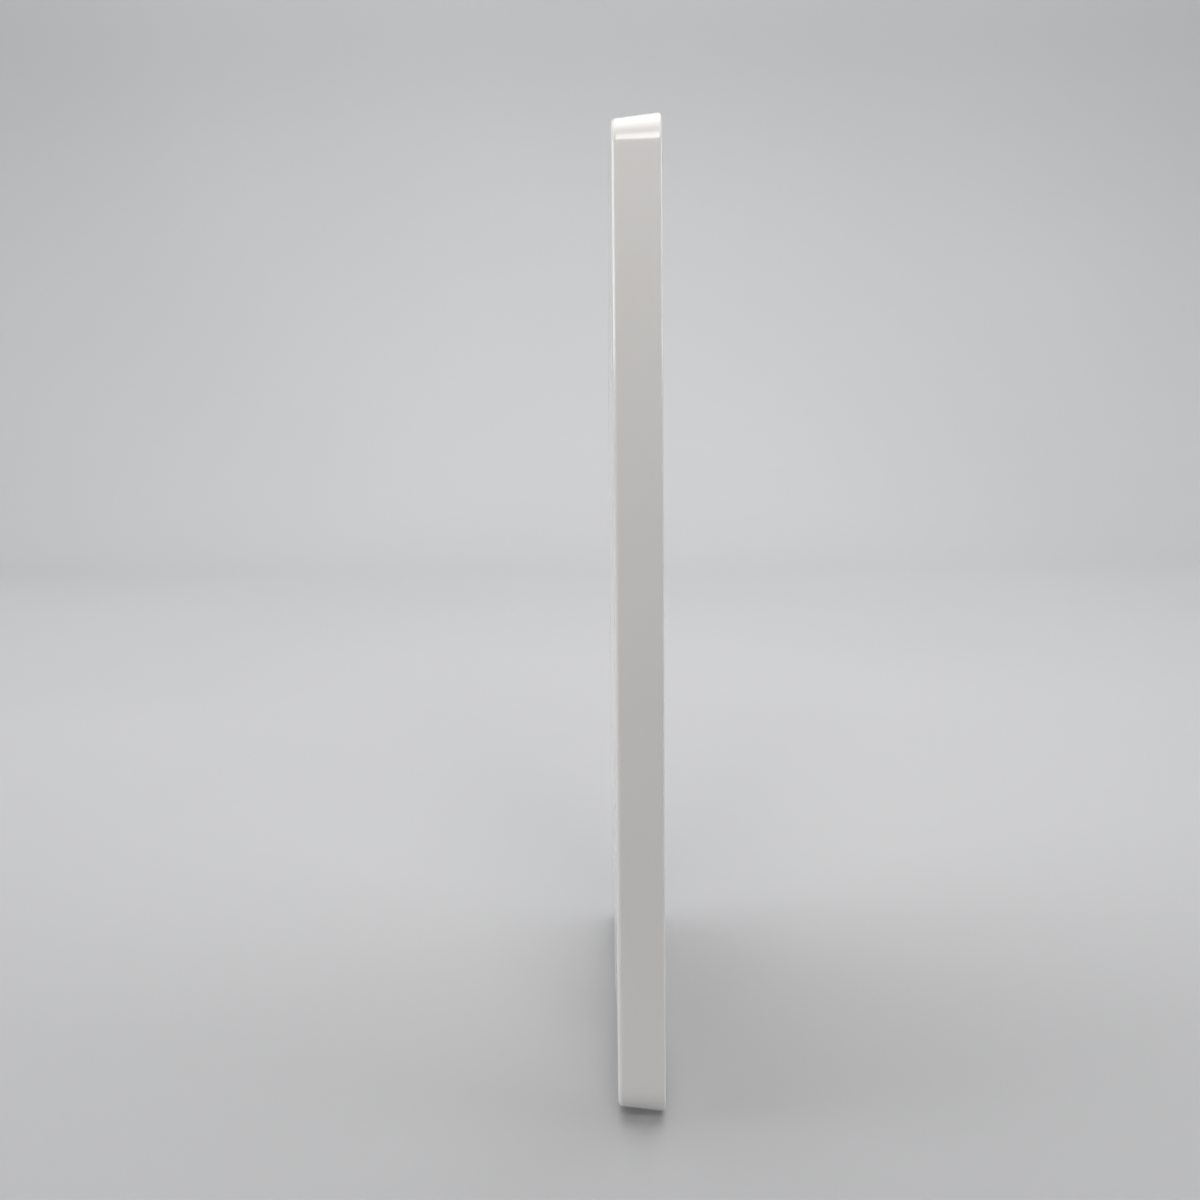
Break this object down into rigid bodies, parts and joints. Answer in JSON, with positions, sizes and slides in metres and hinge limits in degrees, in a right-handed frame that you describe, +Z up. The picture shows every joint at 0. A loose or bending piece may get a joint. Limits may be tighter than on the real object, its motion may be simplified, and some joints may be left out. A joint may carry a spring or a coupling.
{
  "type": "digital photo frame",
  "caption": "Slim upright digital photo frame with a dark screen in a glossy white case, a folding leg and keyhole plate at the back, and side buttons.",
  "frame": {"origin": "middle of the footprint, on the surface that the feet rest on", "axes": "+Z up along the long side, +Y out of the back, so the picture faces -Y, +X across the width towards the side with the buttons and sockets"},
  "size_m": [0.172, 0.0132, 0.2535],
  "materials": {
    "casing": "high-gloss white moulding",
    "button": "satin white moulding",
    "screen_glass": "polished cover glass",
    "panel_glass": "dark display cell",
    "clear_sheet": "frosted light sheet",
    "silver_foil": "reflective film",
    "moulding": "fine matt white",
    "steel": "bright stamped sheet and turned screws",
    "circuit_board": "green solder mask",
    "chip": "matt black moulding",
    "rubber": "matt grey rubber",
    "cable": "black insulation",
    "flex": "amber flat cable"
  },
  "bodies": {
    "case": {"rear_cover": "casing", "front_bezel": "casing", "touch_glass": "screen_glass", "lcd_cell": "panel_glass", "optical_film": "clear_sheet", "light_guide": "clear_sheet", "reflector_sheet": "silver_foil", "panel_frame": "moulding", "led_strip": "moulding", "display_connector": "moulding", "panel_chassis": "steel", "panel_clip_lower_left": "steel", "panel_clip_lower_right": "steel", "panel_clip_upper_left": "steel", "panel_clip_upper_right": "steel", "clip_screw_lower_left": "steel", "clip_screw_lower_right": "steel", "clip_screw_upper_left": "steel", "clip_screw_upper_right": "steel", "board_screw_lower_left": "steel", "board_screw_lower_right": "steel", "board_screw_upper_left": "steel", "board_screw_upper_right": "steel", "case_screw_lower_left": "steel", "case_screw_lower_right": "steel", "case_screw_upper_left": "steel", "case_screw_upper_right": "steel", "shield_can": "steel", "wifi_module": "steel", "backup_cell": "steel", "usb_c_socket": "steel", "card_socket": "steel", "power_switch": "steel", "volume_down_switch": "steel", "volume_up_switch": "steel", "hinge_pin": "steel", "hinge_washer_left": "steel", "hinge_washer_right": "steel", "hanger_plate": "steel", "main_board": "circuit_board", "button_board": "circuit_board", "antenna": "circuit_board", "processor": "chip", "speaker_left": "chip", "speaker_right": "chip", "foot_left": "rubber", "foot_right": "rubber", "speaker_lead_left": "cable", "speaker_lead_right": "cable", "antenna_lead": "cable", "button_lead": "cable", "display_cable": "flex", "touch_cable": "flex"},
    "kickstand_leg": {"kickstand": "casing", "kickstand_pad": "rubber"},
    "power_key": {"power_button": "button"},
    "volume_down_key": {"volume_down_button": "button"},
    "volume_up_key": {"volume_up_button": "button"}
  },
  "joints": [
    {"name": "kickstand_hinge", "type": "hinge", "parent": "case", "child": "kickstand_leg", "pos_m": [0, 0.00485, 0.104], "axis": [1, 0, 0], "range_deg": [0, 40]},
    {"name": "power_press", "type": "slide", "parent": "case", "child": "power_key", "axis": [-1, 0, 0], "range_m": [0, 0.0003], "stiffness_N_per_m": 3000},
    {"name": "volume_down_press", "type": "slide", "parent": "case", "child": "volume_down_key", "axis": [-1, 0, 0], "range_m": [0, 0.0003], "stiffness_N_per_m": 3000},
    {"name": "volume_up_press", "type": "slide", "parent": "case", "child": "volume_up_key", "axis": [-1, 0, 0], "range_m": [0, 0.0003], "stiffness_N_per_m": 3000}
  ]
}
